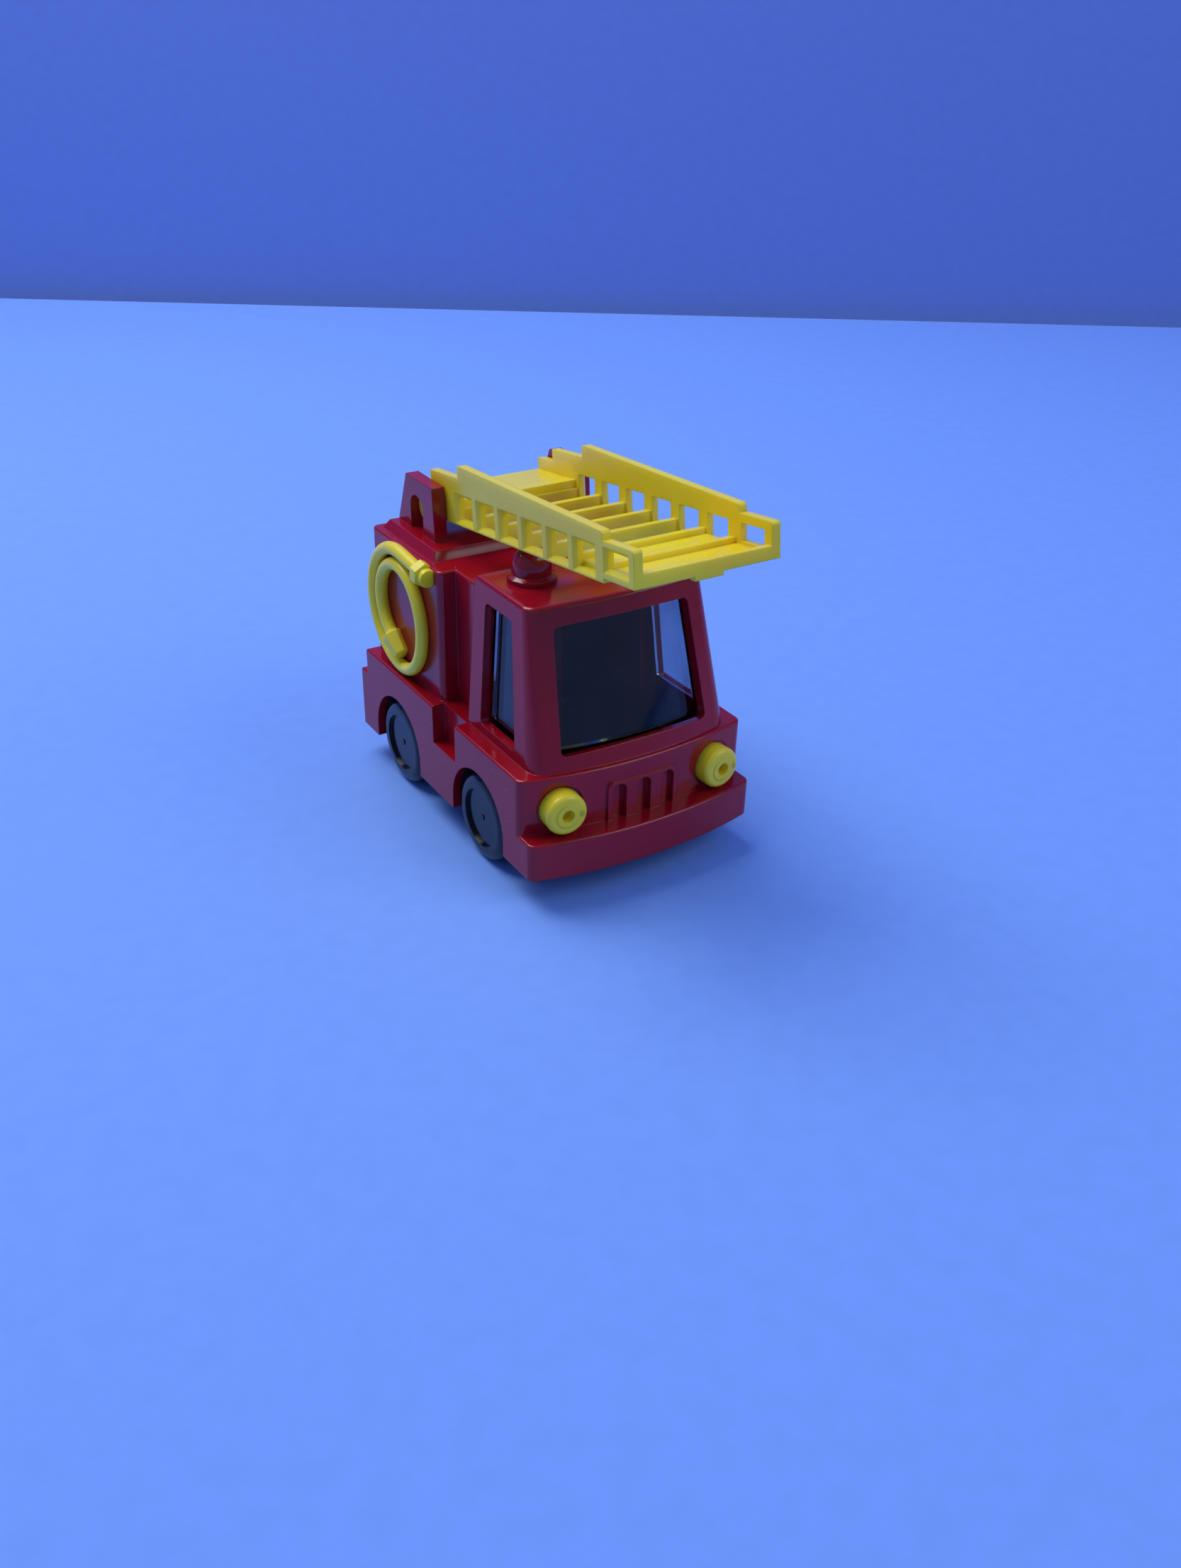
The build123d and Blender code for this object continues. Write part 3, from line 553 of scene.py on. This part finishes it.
# ---------------------------------------------------------------------------
# sub-assemblies
# ---------------------------------------------------------------------------


@dataclass
class PackedNodes:
    """The construction model's own nodes, which stay where they are and get their finishes."""

    frame: dict
    paint: Paintshop

    def dress(self) -> None:
        """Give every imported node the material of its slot."""
        slots = {part["node"]: Slot(part["material_slot"]) for part in self.frame["record"]["subparts"]}
        for name, node in self.frame["nodes"].items():
            self.paint.dress(node, slots[name])
            for polygon in node.data.polygons:
                polygon.use_smooth = True
            LOG.info("dressed %s with %s", name, slots[name].value)


@dataclass
class Workbench:
    """Short calls for the modelling steps that the sub-assemblies share."""

    paint: Paintshop
    ring_steps: int = 96
    section_steps: int = 14
    ring_foot: float = 0.55
    button_steps: int = 40
    button_inset: float = 0.35
    button_dip: float = 0.4
    rounding_of_height: float = 0.3
    rounding_of_radius: float = 0.2

    def clear(self) -> None:
        """Deselect every object."""
        bpy.ops.object.select_all(action="DESELECT")

    def settle(self, name: str) -> bpy.types.Object:
        """Name the object just added and move its place into its mesh."""
        piece = bpy.context.object
        piece.name = name
        bpy.ops.object.transform_apply(location=True, rotation=True, scale=True)
        return piece

    def select_facing(self, piece: bpy.types.Object, way: Vector) -> None:
        """In edit mode, select only the faces that look along a direction."""
        bpy.ops.mesh.select_mode(type="FACE")
        bpy.ops.mesh.select_all(action="DESELECT")
        mesh = bmesh.from_edit_mesh(piece.data)
        for face in mesh.faces:
            face.select = face.normal.dot(way) > FACING
        bmesh.update_edit_mesh(piece.data)

    def round_edges(self, piece: bpy.types.Object, width: float, segments: int) -> None:
        """Bevel a piece's sharp edges and shade what is left smooth."""
        bevel = piece.modifiers.new("rounding", "BEVEL")
        bevel.width = width
        bevel.segments = segments
        bevel.limit_method = "ANGLE"
        bpy.ops.object.modifier_apply(modifier=bevel.name)
        bpy.ops.object.shade_smooth_by_angle(angle=math.radians(SMOOTH_ANGLE))

    def ring(
        self, name: str, centre: Sequence[float], axis: Sequence[float], radius: float, section: float
    ) -> bpy.types.Object:
        """Model a moulded ring from a torus, with a flat foot let into the surface under it.

        Args:
            name: The ring's name.
            centre: Middle of the ring.
            axis: Direction that the ring faces.
            radius: Radius of the ring's middle line.
            section: Radius of its section.

        Returns:
            The ring, with its place in its mesh.
        """
        self.clear()
        turn = Vector(axis).to_track_quat("Z", "Y").to_euler()
        bpy.ops.mesh.primitive_torus_add(
            major_segments=self.ring_steps,
            minor_segments=self.section_steps,
            major_radius=radius,
            minor_radius=section,
            location=centre,
            rotation=turn,
        )
        ring = self.settle(name)
        bpy.ops.object.mode_set(mode="EDIT")
        bpy.ops.mesh.select_all(action="SELECT")
        foot = Vector(centre) - section * self.ring_foot * Vector(axis).normalized()
        bpy.ops.mesh.bisect(plane_co=foot, plane_no=Vector(axis), clear_inner=True, use_fill=False)
        bpy.ops.object.mode_set(mode="OBJECT")
        bpy.ops.object.shade_smooth()
        return ring

    def button(
        self, name: str, centre: Sequence[float], axis: Sequence[float], radius: float, height: float
    ) -> bpy.types.Object:
        """Model a low round button, dished and bevelled like a moulding gate's stub.

        Args:
            name: The button's name.
            centre: Middle of its foot.
            axis: Direction that it faces.
            radius: Its radius.
            height: Its height.

        Returns:
            The button, with its place in its mesh.
        """
        self.clear()
        way = Vector(axis).normalized()
        turn = way.to_track_quat("Z", "Y").to_euler()
        bpy.ops.mesh.primitive_cylinder_add(
            vertices=self.button_steps,
            radius=radius,
            depth=height,
            location=Vector(centre) + way * height / 2,
            rotation=turn,
        )
        button = self.settle(name)
        bpy.ops.object.mode_set(mode="EDIT")
        self.select_facing(button, way)
        bpy.ops.mesh.inset(thickness=radius * self.button_inset)
        bpy.ops.transform.translate(value=way * -height * self.button_dip)
        bpy.ops.object.mode_set(mode="OBJECT")
        width = min(height * self.rounding_of_height, radius * self.rounding_of_radius)
        self.round_edges(button, width, segments=3)
        return button

    def finish(self, piece: bpy.types.Object, body: str, slot: Slot) -> bpy.types.Object:
        """Dress a piece in a slot's finish and let it ride on a body."""
        self.paint.dress(piece, slot)
        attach(piece, body)
        LOG.info("made %s on %s", piece.name, body)
        return piece


@dataclass
class Wheels:
    """Moulded details of the four wheels: the lip round each disc and its centre button."""

    bench: Workbench
    lip_radius: float = 4.95 * MM
    lip_section: float = 0.22 * MM
    lip_sink: float = 1.1
    disc_recess: float = 0.5 * MM
    centre_radius: float = 0.55 * MM
    centre_height: float = 0.16 * MM

    def build(self) -> None:
        """Make the lip and centre of every wheel."""
        for end in ("front", "rear"):
            for side in Side:
                low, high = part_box(f"{end}_{side.word}_wheel")
                face = high.x if side is Side.LEFT else low.x
                middle = ((low.y + high.y) / 2, (low.z + high.z) / 2)
                out = (side.value, 0, 0)
                lip = self.bench.ring(
                    f"{end}_{side.word}_disc_lip",
                    (face - side.value * self.lip_section * self.lip_sink, *middle),
                    out,
                    self.lip_radius,
                    self.lip_section,
                )
                self.bench.finish(lip, f"{end}_wheelset", Slot.BLACK)
                stub = self.bench.button(
                    f"{end}_{side.word}_disc_centre",
                    (face - side.value * self.disc_recess, *middle),
                    out,
                    self.centre_radius,
                    self.centre_height,
                )
                self.bench.finish(stub, f"{end}_wheelset", Slot.BLACK)


@dataclass
class ShadeLiners:
    """Black liners over the wheels, a little over half round: dark sheets put inside the shell where it shows
    only shade, which keep daylight out and give it painted shade.
    """

    bench: Workbench
    steps: int = 72
    bore: float = 8.55 * MM
    wall: float = 0.45 * MM
    inner_side: float = 12.4 * MM
    outer_side: float = 18.55 * MM
    foot: float = 6.2 * MM
    rounding: float = 0.3

    def shape(self, name: str, side: Side, middle: Sequence[float]) -> bpy.types.Object:
        """Model one shade liner, closed towards the drive and open towards the wheel's face.

        The wheel's inner end and the axle pass through its closed side, which has no hole for them.

        Args:
            name: The liner's name.
            side: Side of the engine that it's on.
            middle: Where the axle is, along and up.

        Returns:
            The liner, with its place in its mesh.
        """
        self.bench.clear()
        depth = self.outer_side - self.inner_side
        centre = (side.value * (self.outer_side + self.inner_side) / 2, *middle)
        bpy.ops.mesh.primitive_cylinder_add(
            vertices=self.steps, radius=self.bore, depth=depth, location=centre, rotation=(0, math.pi / 2, 0)
        )
        liner = self.bench.settle(name)
        bpy.ops.object.mode_set(mode="EDIT")
        self.bench.select_facing(liner, Vector((side.value, 0, 0)))
        bpy.ops.mesh.delete(type="FACE")
        bpy.ops.mesh.select_all(action="SELECT")
        bpy.ops.mesh.bisect(plane_co=(0, 0, self.foot), plane_no=(0, 0, 1), clear_inner=True)
        bpy.ops.object.mode_set(mode="OBJECT")
        shell = liner.modifiers.new("wall", "SOLIDIFY")
        shell.thickness = self.wall
        shell.offset = 1.0
        bpy.ops.object.modifier_apply(modifier=shell.name)
        self.bench.round_edges(liner, self.wall * self.rounding, segments=2)
        return liner

    def build(self) -> None:
        """Make the black shade liner over every wheel, which stands for painted shade inside the shell."""
        for end in ("front", "rear"):
            for side in Side:
                low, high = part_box(f"{end}_{side.word}_wheel")
                middle = ((low.y + high.y) / 2, (low.z + high.z) / 2)
                liner = self.shape(f"{end}_{side.word}_wheel_liner", side, middle)
                # The black liner is a dark sheet that stands for painted shade inside the shell.
                self.bench.finish(liner, "engine", Slot.CHASSIS)


@dataclass
class Headlamps:
    """Moulding marks on the headlamps: a gate stub beside each eye."""

    bench: Workbench
    splay: float = 5.0
    stub_reach: float = 2.25 * MM
    stub_radius: float = 0.42 * MM
    stub_height: float = 0.1 * MM
    stub_lift: float = 0.02 * MM
    face_setback: float = 0.28 * MM

    def build(self) -> None:
        """Make a gate stub on every headlamp."""
        turn = math.radians(self.splay)
        for side in Side:
            low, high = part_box(f"headlamp_{side.word}")
            out = Vector((side.value * math.sin(turn), -math.cos(turn), 0.0))
            across = Vector((math.cos(turn), side.value * math.sin(turn), 0.0))
            outer_edge = high.x if side is Side.LEFT else low.x
            half_width = (high.z - low.z) / 2 * math.cos(turn)
            middle = Vector(
                (outer_edge - side.value * half_width, low.y + self.face_setback, (low.z + high.z) / 2)
            )
            place = middle + across * self.stub_reach + out * self.stub_lift
            stub = self.bench.button(
                f"headlamp_{side.word}_gate_stub", place, out, self.stub_radius, self.stub_height
            )
            self.bench.finish(stub, "engine", Slot.YELLOW)


# ---------------------------------------------------------------------------
# the setting
# ---------------------------------------------------------------------------


@dataclass
class Setting:
    """Floor, light and camera around the engine."""

    azimuth: float = -32.78
    elevation: float = 30.36
    roll: float = 1.43
    distance: float = 0.23876
    aim: tuple[float, float, float] = (0.00518, 0.00021, 0.00262)
    lens: float = 32.56
    floor_reach: float = 0.58
    floor_side: float = 3.0
    wall_sink: float = 0.002
    wall_gap: float = 0.01
    lamp_target: tuple[float, float, float] = (0.0, 0.0, 0.02)
    paper: PaperSweep = PaperSweep()
    wall_paper: PaperSweep = PaperSweep(name="dusky paper", colour=(0.16, 0.26, 0.64, 1.0))

    def camera(self) -> None:
        """Stand the camera at the engine's front right corner, looking down on it."""
        turn, tip, lean = (math.radians(v) for v in (self.azimuth, self.elevation, self.roll))
        back = Vector((math.sin(turn) * math.cos(tip), -math.cos(turn) * math.cos(tip), math.sin(tip)))
        level = Vector((math.cos(turn), math.sin(turn), 0.0))
        upright = back.cross(level)
        right = math.cos(lean) * level + math.sin(lean) * upright
        up = math.cos(lean) * upright - math.sin(lean) * level
        camera = bpy.data.objects.new("camera", bpy.data.cameras.new("camera"))
        stand = Matrix.Translation(Vector(self.aim) + self.distance * back)
        camera.matrix_world = stand @ Matrix((right, up, back)).transposed().to_4x4()
        camera.data.lens = self.lens
        camera.data.sensor_width = 36.0
        camera.data.clip_start = 0.01
        bpy.context.collection.objects.link(camera)
        bpy.context.scene.camera = camera

    def floor(self) -> None:
        """Lay the pale sheet that the wheels stand on, and stand a plain wall at its far edge."""
        turn = math.radians(self.azimuth)
        ahead = Vector((-math.sin(turn), math.cos(turn), 0.0))
        below_camera = Vector(self.aim) - self.distance * math.cos(math.radians(self.elevation)) * ahead
        edge = below_camera + self.floor_reach * ahead
        edge.z = 0.0
        middle = edge - self.floor_side / 2 * ahead
        bpy.ops.object.select_all(action="DESELECT")
        bpy.ops.mesh.primitive_plane_add(size=self.floor_side, location=middle, rotation=(0, 0, turn))
        floor = bpy.context.object
        floor.name = "paper_floor"
        floor.data.materials.append(self.paper.build())
        bpy.ops.object.select_all(action="DESELECT")
        high = edge + Vector((0, 0, self.floor_side / 2 - self.wall_sink)) + self.wall_gap * ahead
        bpy.ops.mesh.primitive_plane_add(size=self.floor_side, location=high, rotation=(math.pi / 2, 0, turn))
        wall = bpy.context.object
        wall.name = "plain_wall"
        wall.data.materials.append(self.wall_paper.build())

    def lamp(
        self, name: str, place: Sequence[float], size: float, power: float, colour: Sequence[float]
    ) -> None:
        """Hang a square soft lamp that faces the engine.

        Args:
            name: The lamp's name.
            place: Where it hangs, in metres.
            size: Length of its sides, in metres.
            power: Its power, in watts.
            colour: Its colour.
        """
        data = bpy.data.lights.new(name, "AREA")
        data.size = size
        data.energy = power
        data.color = colour
        lamp = bpy.data.objects.new(name, data)
        lamp.location = place
        lamp.rotation_euler = (Vector(place) - Vector(self.lamp_target)).to_track_quat("Z", "Y").to_euler()
        bpy.context.collection.objects.link(lamp)

    def light(self) -> None:
        """Light the engine softly, a little stronger from behind and above."""
        scene = bpy.context.scene
        scene.view_settings.view_transform = "Standard"
        world = bpy.data.worlds.new("soft room")
        world.use_nodes = True
        background = world.node_tree.nodes["Background"]
        background.inputs["Color"].default_value = (0.30, 0.45, 1.0, 1.0)
        background.inputs["Strength"].default_value = 0.5
        scene.world = world
        self.lamp("sky_panel", (-0.12, 0.34, 0.62), size=0.5, power=4.4, colour=(1.0, 0.98, 0.95))
        self.lamp("front_panel", (0.42, -0.55, 0.55), size=0.5, power=1.5, colour=(0.95, 0.97, 1.0))

    def build(self) -> None:
        """Make the whole setting."""
        self.camera()
        self.floor()
        self.light()


def main() -> None:
    """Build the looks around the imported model."""
    logging.basicConfig(level=logging.INFO, format="%(name)s: %(message)s")
    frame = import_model()
    paint = Paintshop()
    Setting().build()
    PackedNodes(frame, paint).dress()
    bench = Workbench(paint)
    Wheels(bench).build()
    ShadeLiners(bench).build()
    Headlamps(bench).build()


if __name__ == "__main__":
    main()
